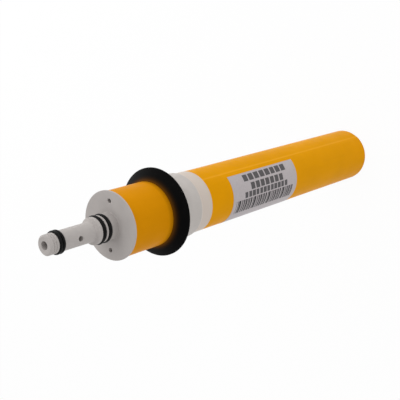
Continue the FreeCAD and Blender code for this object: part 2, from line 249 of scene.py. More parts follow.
def pull_ring(radius, height, from_radius, from_height):
    """Pull the selected ring out to another radius and height."""
    bpy.ops.mesh.extrude_region_move(
        TRANSFORM_OT_translate={"value": (0, 0, height - from_height)})
    scale = radius / from_radius
    bpy.ops.transform.resize(value=(scale, scale, 1), center_override=(0, 0, height))


def turn_outline(name, outline, sides=ROUND_SIDES):
    """A closed turned form: a ring is drawn and pulled through an outline of (radius, height)."""
    clear_selection()
    radius, height = outline[0]
    bpy.ops.mesh.primitive_circle_add(vertices=sides, radius=radius, location=(0, 0, height))
    piece = bpy.context.object
    piece.name = name
    start_editing()
    bpy.ops.mesh.select_all(action="SELECT")
    for next_radius, next_height in outline[1:] + outline[:1]:
        pull_ring(next_radius, next_height, radius, height)
        radius, height = next_radius, next_height
    close_form()
    bpy.ops.object.mode_set(mode="OBJECT")
    bpy.ops.object.transform_apply(location=True, rotation=True, scale=True)
    return piece


def close_form():
    """Merge doubled points, then turn every face outwards."""
    bpy.ops.mesh.select_all(action="SELECT")
    bpy.ops.mesh.remove_doubles(threshold=0.002 * MM)
    bpy.ops.mesh.normals_make_consistent(inside=False)


def select_edges(piece, wanted):
    """In edit mode, select only the edges whose two ends the test accepts."""
    bpy.ops.mesh.select_all(action="DESELECT")
    mesh = bmesh.from_edit_mesh(piece.data)
    for edge in mesh.edges:
        if all(wanted(vertex.co) for vertex in edge.verts):
            edge.select_set(True)
    bmesh.update_edit_mesh(piece.data)


def at_ring(radius, height, slack=0.02 * MM):
    """A test for points on the ring of that radius and height."""
    def test(place):
        return abs(place.z - height) < slack and abs(place.xy.length - radius) < slack
    return test


def soften(piece, rings, segments=4):
    """Round rings of a turned form. Each ring is (radius, height, width of the bevel)."""
    bpy.context.view_layer.objects.active = piece
    start_editing()
    for radius, height, width in rings:
        select_edges(piece, at_ring(radius, height))
        bpy.ops.mesh.bevel(offset=width, segments=segments, profile=0.5, affect="EDGES")
    bpy.ops.object.mode_set(mode="OBJECT")


def apply_modifier(piece, kind, **settings):
    """Add a modifier with these settings and apply it."""
    bpy.context.view_layer.objects.active = piece
    bpy.ops.object.modifier_add(type=kind)
    modifier = piece.modifiers[-1]
    for name, setting in settings.items():
        setattr(modifier, name, setting)
    bpy.ops.object.modifier_apply(modifier=modifier.name)


def cut_with(piece, cutter):
    """Take the cutter's form out of the piece."""
    apply_modifier(piece, "BOOLEAN", operation="DIFFERENCE", object=cutter, solver="EXACT")
    bpy.data.objects.remove(cutter)


def press(piece, name, depth, weight):
    """Press the skin in along its normals, as deep as a painted weight from 0 to 1 says."""
    group = piece.vertex_groups.new(name=name)
    for vertex in piece.data.vertices:
        share = weight(vertex.co)
        if share > 0:
            group.add([vertex.index], min(share, 1.0), "REPLACE")
    apply_modifier(piece, "DISPLACE", direction="NORMAL", mid_level=0.0, strength=-depth,
                   vertex_group=name)
    piece.vertex_groups.clear()


def finish_piece(piece, slot, materials, *nodes):
    """Shade the piece, give it its materials, and tie it to the frame."""
    clear_selection()
    piece.select_set(True)
    bpy.context.view_layer.objects.active = piece
    bpy.ops.object.transform_apply(location=True, rotation=True, scale=True)
    bpy.ops.object.shade_smooth_by_angle(angle=SMOOTH_ANGLE)
    apply_modifier(piece, "WEIGHTED_NORMAL", keep_sharp=True)
    for index, material in enumerate(materials):
        if index < len(piece.data.materials):
            piece.data.materials[index] = material
        else:
            piece.data.materials.append(material)
    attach(piece, BODY)
    if nodes:
        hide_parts(*nodes)


# Finishes


class Nodes:
    """Builds one material out of shader nodes."""

    def __init__(self, name, **sockets):
        self.material = bpy.data.materials.new(name)
        self.material.use_nodes = True
        self.tree = self.material.node_tree
        self.tree.nodes.clear()
        self.shader = self.add("ShaderNodeBsdfPrincipled", **sockets)
        output = self.add("ShaderNodeOutputMaterial")
        self.tree.links.new(self.shader.outputs[0], output.inputs["Surface"])
        self.place = self.add("ShaderNodeTexCoord").outputs["Object"]

    def add(self, kind, settings=None, **sockets):
        """A node. A socket is named with _ for each space, and takes a value or another output."""
        node = self.tree.nodes.new(kind)
        for name, setting in (settings or {}).items():
            setattr(node, name, setting)
        for name, source in sockets.items():
            socket = node.inputs[int(name[1:])] if name[0] == "i" and name[1:].isdigit() \
                else node.inputs[name.replace("_", " ")]
            if isinstance(source, bpy.types.NodeSocket):
                self.tree.links.new(source, socket)
            else:
                socket.default_value = source
        return node

    def link(self, source, socket):
        self.tree.links.new(source, self.shader.inputs[socket])

    def math(self, operation, *values, clamp=False):
        sockets = {f"i{index}": value for index, value in enumerate(values)}
        settings = {"operation": operation, "use_clamp": clamp}
        return self.add("ShaderNodeMath", settings, **sockets).outputs[0]

    def stretched(self, x, y, z):
        """Object coordinates, scaled on each axis."""
        return self.add("ShaderNodeMapping", Vector=self.place, Scale=(x, y, z)).outputs[0]

    def noise(self, scale, detail=3.0, roughness=0.5, place=None):
        node = self.add("ShaderNodeTexNoise", Vector=place or self.place, Scale=scale,
                        Detail=detail, Roughness=roughness)
        return node.outputs["Fac"]

    def ramp(self, factor, *stops):
        """A colour ramp through (position, grey or colour) stops."""
        node = self.add("ShaderNodeValToRGB", Fac=factor)
        elements = node.color_ramp.elements
        while len(elements) < len(stops):
            elements.new(0.5)
        for element, (position, shade) in zip(elements, stops):
            element.position = position
            shade = (shade,) * 3 if isinstance(shade, (int, float)) else tuple(shade)
            element.color = (*shade, 1.0)
        return node.outputs["Color"]

    def span(self, source, low, high, to_low=0.0, to_high=1.0):
        """Map a span of values to another, held at its ends."""
        return self.add("ShaderNodeMapRange", Value=source, From_Min=low, From_Max=high,
                        To_Min=to_low, To_Max=to_high).outputs["Result"]

    def blend(self, factor, first, second, kind="MIX"):
        """Mix two colours."""
        settings = {"data_type": "RGBA", "blend_type": kind}
        node = self.add("ShaderNodeMix", settings, i0=factor)
        for socket, source in ((node.inputs[6], first), (node.inputs[7], second)):
            if isinstance(source, bpy.types.NodeSocket):
                self.tree.links.new(source, socket)
            else:
                socket.default_value = (*source, 1.0)
        return node.outputs[2]

    def polar(self):
        """Radius and bearing of a point about the upright axis, and its height."""
        split = self.add("ShaderNodeSeparateXYZ", Vector=self.place)
        x, y, height = split.outputs[0], split.outputs[1], split.outputs[2]
        radius = self.math("SQRT", self.math("ADD", self.math("MULTIPLY", x, x),
                                             self.math("MULTIPLY", y, y)))
        return radius, self.math("ARCTAN2", y, x), height

    def mottle(self, factor, tint, low, high, span=(0.35, 0.65)):
        """The tint, darkened to low and lightened to high by a cloudy factor."""
        return self.blend(self.span(factor, *span), shade(tint, low), shade(tint, high))

    def bump(self, *layers):
        """Stack layers of (height, strength, depth in metres) into the shader's normal."""
        normal = None
        for height, strength, depth in layers:
            node = self.add("ShaderNodeBump", Height=height, Strength=strength, Distance=depth)
            if normal is not None:
                self.tree.links.new(normal, node.inputs["Normal"])
            normal = node.outputs[0]
        self.link(normal, "Normal")


def shade(tint, factor):
    return tuple(min(1.0, part * factor) for part in tint)


def moulded_plastic(name, tint, low_tint=None, low_height=0.0):
    """Satin injection-moulded plastic with a fine grain, faint flow marks and handling marks.

    A second tint, if there is one, takes over below a height: on the seal carrier it is the
    spigot's lighter, warmer tint, a painted reflection of the yellow film.
    """
    maker = Nodes(name, IOR=1.46, Specular_IOR_Level=0.12)
    radius, _, height = maker.polar()
    cloud = maker.noise(55.0, 4.0, 0.55)
    flow = maker.noise(240.0, 2.0, 0.5, maker.stretched(1.0, 1.0, 0.18))
    grain = maker.noise(2600.0, 2.0, 0.6)
    specks = maker.ramp(maker.noise(900.0, 3.0, 0.6), (0.66, 0.0), (0.74, 1.0))
    ground = maker.mottle(cloud, tint, 0.95, 1.04)
    if low_tint:
        low_part = maker.span(height, low_height, low_height - 1.5 * MM)
        ground = maker.blend(low_part, ground, tuple(low_tint))
    ground = maker.blend(maker.math("MULTIPLY", specks, 0.18), ground, shade(tint, 0.72))
    # Painted shade in the corner where the stem meets the cap's face. Below the face and inside the
    # collar's radius it stays on, which also darkens the tube plug evenly.
    darkening = maker.math("MULTIPLY", maker.span(height, *ROOT_SHADE_HEIGHTS, 0.0, 0.55),
                       maker.span(radius, *ROOT_SHADE_RADII))
    ground = maker.blend(darkening, ground, shade(tint, 0.84))
    maker.link(ground, "Base Color")
    maker.link(maker.span(cloud, 0.3, 0.7, 0.42, 0.54), "Roughness")
    maker.bump((flow, 0.35, 0.00003), (grain, 0.3, 0.00002))
    return maker.material


def wrapped_film(name, tint, edge, edge_bearing, slope_width, radius_of_film, smear_and_shade):
    """Glossy wound film: faint creases along it, fine rings round it, and a painted highlight in a
    paler band at its free edge.

    The last argument (lowest height, width, share) draws the film darker just above its lowest
    height: painted shade beside the brine seal on the short sleeve, and a faint darkening at the
    feed end on the long wrap.
    """
    maker = Nodes(name, IOR=1.5, Specular_IOR_Level=0.015)
    _, angle, height = maker.polar()
    cloud = maker.noise(26.0, 4.0, 0.5)
    creases = maker.noise(1.0, 3.0, 0.55, maker.stretched(210.0, 210.0, 11.0))
    rings = maker.noise(1.0, 2.0, 0.5, maker.stretched(4.0, 4.0, 900.0))
    grain = maker.noise(1900.0, 2.0, 0.5)
    ground = maker.mottle(cloud, tint, 0.955, 1.035, (0.32, 0.68))
    ground = maker.blend(maker.span(creases, 0.5, 0.75, 0.0, 0.12), ground, shade(tint, 0.8))
    # Painted highlight in a narrow band in front of the free edge.
    around = maker.math("MULTIPLY", maker.math("SUBTRACT", angle, edge_bearing), radius_of_film)
    highlight_band = maker.math("MULTIPLY", maker.span(around, -0.0002, 0.0003),
                           maker.span(around, slope_width * 1.1, slope_width * 0.5))
    ground = maker.blend(maker.math("MULTIPLY", highlight_band, 0.55), ground, tuple(edge))
    dark_band_base, dark_band_width, dark_band_share = smear_and_shade
    # Painted shade beside the brine seal on the short sleeve; on the long wrap, a faint darkening
    # at the feed end.
    darkening = maker.math("MULTIPLY",
                       maker.span(height, dark_band_base + dark_band_width, dark_band_base, 0.0, dark_band_share),
                       maker.span(cloud, 0.3, 0.7, 0.8, 1.2))
    ground = maker.blend(darkening, ground, shade(tint, 0.45))
    maker.link(ground, "Base Color")
    maker.link(maker.span(maker.noise(120.0, 3.0, 0.6), 0.3, 0.7, 0.33, 0.45), "Roughness")
    maker.bump((creases, 0.35, 0.00012), (rings, 0.12, 0.00003), (grain, 0.2, 0.000012))
    return maker.material


def seal_rubber(name, tint, reflection, reflection_top):
    """Matt moulded rubber with turned mould lines, a little pale dust, and a painted film-coloured
    reflection where it meets the film.
    """
    maker = Nodes(name, IOR=1.5, Specular_IOR_Level=0.03)
    radius, _, height = maker.polar()
    along = maker.math("ADD", radius, maker.math("MULTIPLY", height, 0.7))
    lines = maker.math("SINE", maker.math("MULTIPLY", along, 2 * math.pi / 0.00055))
    cloud = maker.noise(90.0, 4.0, 0.6)
    grain = maker.noise(2200.0, 3.0, 0.6)
    dust = maker.ramp(maker.noise(700.0, 4.0, 0.65), (0.58, 0.0), (0.72, 1.0))
    dust = maker.math("MULTIPLY", dust, maker.span(cloud, 0.45, 0.7, 0.0, 0.5))
    ground = maker.mottle(cloud, tint, 0.8, 1.3)
    ground = maker.blend(dust, ground, (0.03, 0.029, 0.027))
    # Painted reflection of the yellow film, strongest at the top of the seal beside the film.
    beside_film = maker.math("POWER", maker.span(height, reflection_top - REFLECTION_WIDTH, reflection_top),
                             REFLECTION_FALL)
    ground = maker.blend(beside_film, ground, tuple(reflection))
    maker.link(ground, "Base Color")
    maker.link(maker.span(cloud, 0.3, 0.7, 0.5, 0.62), "Roughness")
    maker.bump((lines, 0.25, 0.000012), (grain, 0.4, 0.00003))
    return maker.material


def o_ring_rubber(name, tint):
    """Smooth rubber under thin smears of grease."""
    maker = Nodes(name, IOR=1.5, Specular_IOR_Level=0.1)
    smear_and_shade = maker.noise(420.0, 3.0, 0.6)
    grain = maker.noise(3000.0, 2.0, 0.5)
    ground = maker.mottle(smear_and_shade, tint, 0.8, 1.7, (0.4, 0.65))
    maker.link(ground, "Base Color")
    maker.link(maker.span(smear_and_shade, 0.35, 0.65, 0.5, 0.34), "Roughness")
    maker.bump((smear_and_shade, 0.3, 0.00004), (grain, 0.25, 0.000015))
    return maker.material


def label_stock(name, tint):
    """Satin film label with a faint mottle and soft cockles from the roll under it."""
    maker = Nodes(name, IOR=1.48, Specular_IOR_Level=0.1)
    cockle = maker.noise(1.0, 2.0, 0.5, maker.stretched(160.0, 160.0, 40.0))
    mottle = maker.noise(650.0, 4.0, 0.6)
    ground = maker.mottle(mottle, tint, 0.95, 1.03)
    maker.link(ground, "Base Color")
    maker.link(maker.span(mottle, 0.3, 0.7, 0.4, 0.5), "Roughness")
    maker.bump((cockle, 0.4, 0.0001), (mottle, 0.15, 0.00001))
    return maker.material


def print_ink(name, tint, paper):
    """Transfer print: dense, with pin-holes where the stock shows through."""
    maker = Nodes(name, IOR=1.48, Specular_IOR_Level=0.1)
    holes = maker.ramp(maker.noise(2400.0, 3.0, 0.7), (0.6, 0.0), (0.7, 1.0))
    wear = maker.span(maker.noise(130.0, 3.0, 0.6), 0.45, 0.75, 0.08, 0.35)
    ground = maker.blend(maker.math("MULTIPLY", holes, wear), tuple(tint), tuple(paper))
    maker.link(ground, "Base Color")
    maker.link(maker.span(holes, 0.0, 1.0, 0.36, 0.5), "Roughness")
    maker.bump((holes, 0.2, 0.00001))
    return maker.material


def leaf_edges(name, tint):
    """Cut edges of the wound leaves, with a woven spacer between the sheets."""
    maker = Nodes(name, IOR=1.45, Specular_IOR_Level=0.25)
    radius, angle, _ = maker.polar()
    turns = maker.math("MULTIPLY", radius, 2 * math.pi / 0.0004)
    sheets = maker.math("SINE", maker.math("ADD", turns, angle))
    strand = maker.math("SINE", maker.math("MULTIPLY", angle, 190.0))
    weave = maker.math("MULTIPLY", sheets, strand)
    cloud = maker.noise(180.0, 4.0, 0.6)
    ground = maker.mottle(weave, tint, 0.72, 1.0, (-0.6, 0.8))
    ground = maker.blend(maker.span(cloud, 0.4, 0.7, 0.0, 0.4), ground, shade(tint, 0.6))
    maker.link(ground, "Base Color")
    maker.link(maker.span(cloud, 0.3, 0.7, 0.62, 0.8), "Roughness")
    maker.bump((sheets, 0.5, 0.00008), (weave, 0.4, 0.00005), (maker.noise(2500.0), 0.3, 0.00003))
    return maker.material


def drawn_tube(name, tint):
    """Extruded tube: fine draw lines along it, with a slightly chalky surface."""
    maker = Nodes(name, IOR=1.46, Specular_IOR_Level=0.12)
    lines = maker.noise(1.0, 2.0, 0.5, maker.stretched(1500.0, 1500.0, 8.0))
    cloud = maker.noise(140.0, 4.0, 0.6)
    ground = maker.mottle(cloud, tint, 0.93, 1.03)
    maker.link(ground, "Base Color")
    maker.link(maker.span(cloud, 0.3, 0.7, 0.45, 0.6), "Roughness")
    maker.bump((lines, 0.25, 0.00003), (maker.noise(2400.0), 0.2, 0.00001))
    return maker.material


# Pieces


def groove(radius, floor, middle, width):
    """The four corners of a square groove in an outline that climbs."""
    low, high = middle - width / 2, middle + width / 2
    return [(radius, low), (floor, low), (floor, high), (radius, high)]


def fine_groove(radius, depth, middle, width):
    """The corners of a fine groove with sloping sides."""
    return [(radius, middle - width / 2), (radius - depth, middle - width / 5),
            (radius - depth, middle + width / 5), (radius, middle + width / 2)]


class MEMBRANE_OT_head_cap(bpy.types.Operator):
    """Mould the cap with its skirt, plate, flange and product stem in one piece"""

    bl_idname = "membrane.head_cap"
    bl_label = "Head Cap"

    def execute(self, context):
        scene = context.scene
        cap, stem, rings = scene.membrane_cap, scene.membrane_stem, scene.membrane_rings
        flange_back = cap.face - cap.flange
        ceiling = cap.face - cap.plate
        nose = stem.tip - stem.tip_bevel_height
        face_radius = stem.shaft_radius - stem.tip_bevel_width
        piece = turn_outline("head_cap_shell", [
            (cap.skirt_bore, cap.skirt_base),
            (cap.skirt_radius, cap.skirt_base),
            (cap.skirt_radius, flange_back),
            (cap.flange_radius, flange_back),
            (cap.flange_radius, cap.face),
            (stem.collar_radius, cap.face),
            *groove(stem.collar_radius, rings.base_floor, rings.rear_height, rings.groove),
            *groove(stem.collar_radius, rings.base_floor, rings.front_height, rings.groove),
            (stem.collar_radius, stem.collar_top),
            (stem.shaft_radius, stem.collar_top + stem.collar_slope),
            *groove(stem.shaft_radius, rings.tip_floor, rings.tip_height, rings.double_groove),
            *fine_groove(stem.shaft_radius, stem.rib_depth, stem.lower_rib, stem.rib_width),
            *fine_groove(stem.shaft_radius, stem.rib_depth, stem.upper_rib, stem.rib_width),
            (stem.shaft_radius, nose),
            (face_radius, stem.tip),
            (stem.bore_radius, stem.tip),
            (stem.bore_radius, cap.socket_top),
            (cap.socket_radius, cap.socket_top),
            (cap.socket_radius, cap.skirt_base),
            (cap.hub_radius, cap.skirt_base),
            (cap.hub_radius, ceiling),
            (cap.skirt_bore, ceiling),
        ])
        lip = 0.12 * MM
        grooves = ((stem.collar_radius, rings.rear_height, rings.groove / 2),
                   (stem.collar_radius, rings.front_height, rings.groove / 2),
                   (stem.shaft_radius, rings.tip_height, rings.double_groove / 2))
        soften(piece, [
            (cap.flange_radius, cap.face, cap.flange_round),
            (cap.flange_radius, flange_back, 0.15 * MM),
            (stem.collar_radius, cap.face, stem.root_round),
            (stem.collar_radius, stem.collar_top, 0.3 * MM),
            (stem.shaft_radius, stem.collar_top + stem.collar_slope, 0.35 * MM),
            (stem.shaft_radius, nose, 0.18 * MM),
            (face_radius, stem.tip, 0.18 * MM),
            (stem.bore_radius, stem.tip, stem.bore_bevel),
            *[(radius, middle + side * half, lip)
              for radius, middle, half in grooves for side in (-1, 1)],
        ])
        for side in (-1, 1):
            cut_with(piece, self.brine_hole_cutter(cap, side * cap.hole_offset))
        cut_with(piece, self.port_cutter(stem))
        finish_piece(piece, "white_plastic",
                     [moulded_plastic("cap_moulding", scene.membrane_finishes.moulding)],
                     "head_cap")
        return {"FINISHED"}

    def brine_hole_cutter(self, cap, offset):
        """A drill that flares where it meets the cap's face."""
        clear_selection()
        deep = cap.plate + 2 * MM
        bpy.ops.mesh.primitive_cylinder_add(
            vertices=40, radius=cap.hole_radius, depth=deep,
            location=(offset, 0, cap.face - cap.hole_flare - deep / 2))
        cutter = bpy.context.object
        start_editing("FACE")
        bpy.ops.mesh.select_all(action="DESELECT")
        mesh = bmesh.from_edit_mesh(cutter.data)
        for face in mesh.faces:
            face.select_set(face.normal.z > 0.9)
        bmesh.update_edit_mesh(cutter.data)
        flare = (cap.hole_radius + cap.hole_flare) / cap.hole_radius
        bpy.ops.mesh.extrude_region_move(
            TRANSFORM_OT_translate={"value": (0, 0, cap.hole_flare)})
        bpy.ops.transform.resize(value=(flare, flare, 1), center_override=(offset, 0, cap.face))
        bpy.ops.mesh.extrude_region_move(TRANSFORM_OT_translate={"value": (0, 0, 1 * MM)})
        bpy.ops.object.mode_set(mode="OBJECT")
        return cutter

    def port_cutter(self, stem):
        """A drill from the stem's -Y side into its bore."""
        clear_selection()
        deep = stem.shaft_radius + 1 * MM
        bpy.ops.mesh.primitive_cylinder_add(
            vertices=48, radius=stem.port_radius, depth=deep, rotation=(math.pi / 2, 0, 0),
            location=(0, -deep / 2, stem.port_height))
        return bpy.context.object


class MEMBRANE_OT_o_rings(bpy.types.Operator):
    """Mould one O-ring for the collar and one for the tip, and copy each to its second groove"""

    bl_idname = "membrane.o_rings"
    bl_label = "O-rings"

    def execute(self, context):
        scene = context.scene
        rings = scene.membrane_rings
        rubber = o_ring_rubber("greased_rubber", scene.membrane_finishes.o_ring)
        half_step = rings.double_groove / 4
        pairs = (
            (rings.base_floor, rings.base_cord, (
                ("base_o_ring_rear", rings.rear_height),
                ("base_o_ring_front", rings.front_height))),
            (rings.tip_floor, rings.tip_cord, (
                ("tip_o_ring_rear", rings.tip_height - half_step),
                ("tip_o_ring_front", rings.tip_height + half_step))),
        )
        for floor, cord, places in pairs:
            first_height = places[0][1]
            first = self.mould(floor, cord, rings.flash, first_height)
            for name, height in places:
                copy = first.copy()
                copy.data = first.data.copy()
                copy.name = f"{name}_rubber"
                context.collection.objects.link(copy)
                copy.location.z += height - first_height
                finish_piece(copy, "o_ring_rubber", [rubber], name)
            bpy.data.objects.remove(first)
        return {"FINISHED"}

    def mould(self, floor, cord, flash, height):
        """One ring on the floor of its groove, with a fine flash line round its outside."""
        clear_selection()
        circle = floor + cord / 2
        bpy.ops.mesh.primitive_torus_add(
            location=(0, 0, height), major_segments=ROUND_SIDES, minor_segments=RING_SIDES,
            major_radius=circle, minor_radius=cord / 2 - flash)
        ring = bpy.context.object
        start_editing()
        outside = circle + cord / 2 - flash
        select_edges(ring, at_ring(outside, 0.0))
        bpy.ops.mesh.bevel(offset=0.07 * MM, segments=2, affect="EDGES")
        select_edges(ring, at_ring(outside, 0.0, 0.01 * MM))
        swell = (outside + flash) / outside
        bpy.ops.transform.resize(value=(swell, swell, 1), center_override=(0, 0, height))
        bpy.ops.object.mode_set(mode="OBJECT")
        bpy.ops.object.transform_apply(location=True, rotation=True, scale=True)
        return ring


class MEMBRANE_OT_near_wrap(bpy.types.Operator):
    """Wind the short sleeve of film between the cap and the seal carrier"""

    bl_idname = "membrane.near_wrap"
    bl_label = "Near Wrap"

    # Width and share of the painted shade on the film beside the seal.
    smear_and_shade = (5.3 * MM, 0.85)

    def execute(self, context):
        scene = context.scene
        film, tints = scene.membrane_film, scene.membrane_finishes
        low, high, radius = base_of("near_wrap"), top_of("near_wrap"), reach_of("near_wrap")
        steps = 12
        climb = [(radius, low + (high - low) * step / steps) for step in range(steps + 1)]
        piece = turn_outline("near_wrap_film", [(film.bore, low), *climb, (film.bore, high)],
                             FILM_SIDES)
        soften(piece, [(radius, low, film.sleeve_round), (radius, high, film.sleeve_round)], 3)
        press(piece, "lap", film.sleeve_step,
              lap_weight(film, film.sleeve_lap_bearing, radius))
        finish = wrapped_film("sleeve_film", tints.sleeve, tints.edge_highlight,
                              film.sleeve_lap_bearing, film.lap_slope, radius,
                              (low, *self.smear_and_shade))
        finish_piece(piece, "yellow_wrap", [finish], "near_wrap")
        return {"FINISHED"}


def lap_weight(film, edge_bearing, radius):
    """How far the film lies in from its outer turn: nothing behind its edge, all in front of it."""
    slope = film.lap_slope / radius
    outer_turn = math.radians(215)
    inner_turn = math.radians(350)

    def weight(place):
        if place.xy.length < radius - 0.7 * MM:
            return 0.0
        behind = (edge_bearing - math.atan2(place.y, place.x)) % (2 * math.pi)
        ahead = 2 * math.pi - behind
        if ahead < slope:
            return ahead / slope
        return min(1.0, max(0.0, (behind - outer_turn) / (inner_turn - outer_turn)))
    return weight


class MEMBRANE_OT_brine_seal(bpy.types.Operator):
    """Mould the lip seal: a gripping band and a cone that flares towards the feed end"""

    bl_idname = "membrane.brine_seal"
    bl_label = "Brine Seal"

    def execute(self, context):
        scene = context.scene
        seal = scene.membrane_seal
        top = top_of("brine_seal")
        rim_base = seal.lip_top - seal.lip_land
        front = seal.seat_radius + seal.band_edge
        piece = turn_outline("brine_seal_rubber", [
            (seal.seat_radius, top),
            (front, top),
            (seal.lip_radius, seal.lip_top),
            (seal.lip_radius, rim_base),
            (seal.lip_radius - seal.lip_edge, rim_base),
            (seal.band_radius, seal.cup_floor),
            (seal.band_radius, seal.seat_base),
            (seal.seat_radius, seal.seat_base),
        ], 192)
        soften(piece, [
            (seal.lip_radius, seal.lip_top, seal.edge_round),
            (seal.lip_radius, rim_base, seal.edge_round),
            (seal.lip_radius - seal.lip_edge, rim_base, seal.edge_round * 0.6),
            (seal.band_radius, seal.cup_floor, seal.edge_round * 2),
            (front, top, 0.25 * MM),
            (seal.band_radius, seal.seat_base, 0.25 * MM),
        ])
        tints = scene.membrane_finishes
        finish_piece(piece, "seal_rubber",
                     [seal_rubber("seal_moulding", tints.rubber, tints.reflection, top)],
                     "brine_seal")
        return {"FINISHED"}


class MEMBRANE_OT_seal_carrier(bpy.types.Operator):
    """Mould the stepped ring that carries the brine seal"""

    bl_idname = "membrane.seal_carrier"
    bl_label = "Seal Carrier"

    def execute(self, context):
        scene = context.scene
        carrier, seal, tints = scene.membrane_carrier, scene.membrane_seal, scene.membrane_finishes
        low, high = base_of("seal_carrier"), top_of("seal_carrier")
        slope_base = carrier.step - carrier.slope
        piece = turn_outline("seal_carrier_ring", [
            (carrier.bore, low),
            (carrier.spigot_radius, low),
            (carrier.spigot_radius, slope_base),
            (carrier.radius, carrier.step),
            (carrier.radius, seal.seat_base),
            (seal.seat_radius, seal.seat_base),
            (seal.seat_radius, high),
            (carrier.bore, high),
        ])
        soften(piece, [
            (carrier.spigot_radius, slope_base, carrier.edge_round),
            (carrier.radius, carrier.step, carrier.edge_round),
            (carrier.radius, seal.seat_base, carrier.edge_round),
            (seal.seat_radius, high, 0.15 * MM),
        ])
        # The second tint on the spigot is a painted reflection of the yellow film.
        finish_piece(piece, "carrier_plastic",
                     [moulded_plastic("carrier_moulding", tints.carrier, tints.spigot_with_reflection,
                                      carrier.step)],
                     "seal_carrier")
        return {"FINISHED"}


class MEMBRANE_OT_far_wrap(bpy.types.Operator):
    """Wind the long wrap of film and gather it over the edge of the feed face"""

    bl_idname = "membrane.far_wrap"
    bl_label = "Far Wrap"

    # Width and share of the faint darkening of the film at the feed end.
    smear_and_shade = (4 * MM, 0.18)

    def execute(self, context):
        scene = context.scene
        film, tints = scene.membrane_film, scene.membrane_finishes
        top, radius = top_of("far_wrap"), reach_of("far_wrap")
        inner_shoulder = film.shoulder - film.fold_thickness
        fold_steps, wall_steps = 5, 16
        turn_in = radius - film.shoulder
        fold = [(film.fold_radius + (turn_in - film.fold_radius) * step / fold_steps, 0.0)
                for step in range(fold_steps)]
        wall = [(radius, film.shoulder + (top - film.shoulder) * step / wall_steps)
                for step in range(1, wall_steps + 1)]
        piece = turn_outline("far_wrap_film", [
            *fold, (radius, 0.0), *wall,
            (film.bore, top),
            (film.bore, film.fold_thickness),
            (film.fold_radius, film.fold_thickness),
        ], FILM_SIDES)
        soften(piece, [(radius, 0.0, film.shoulder)], 10)
        soften(piece, [(film.bore, film.fold_thickness, inner_shoulder)], 6)
        soften(piece, [(radius, top, 0.15 * MM)], 2)
        press(piece, "lap", film.lap_step, lap_weight(film, film.lap_bearing, radius))
        press(piece, "pleats", film.pleat_depth, self.pleat_weight(film, radius))
        finish = wrapped_film("long_film", tints.film, tints.edge_highlight, film.lap_bearing,
                              film.lap_slope, radius, (0.0, *self.smear_and_shade))
        finish_piece(piece, "yellow_wrap", [finish], "far_wrap")
        return {"FINISHED"}

    def pleat_weight(self, film, radius):
        """Uneven gathers that run in over the shoulder and deepen towards the fold's edge."""
        def weight(place):
            reach = place.xy.length
            if place.z > film.fold_thickness * 0.6 and reach < radius - 1.5 * MM:
                return 0.0
            depth = 1.0 - (reach - film.fold_radius) / (radius - film.fold_radius)
            if place.z > film.shoulder or depth <= 0:
                return 0.0
            angle = math.atan2(place.y, place.x)
            spot = Vector((math.cos(angle), math.sin(angle), 0.3)) * 2.6
            turn = angle * film.pleats + 2.4 * noise.noise(spot)
            ridge = 0.5 + 0.5 * math.sin(turn)
            return min(1.0, 1.4 * depth) * ridge ** 3 * (0.6 + 0.4 * noise.noise(spot * 2.0))
        return weight


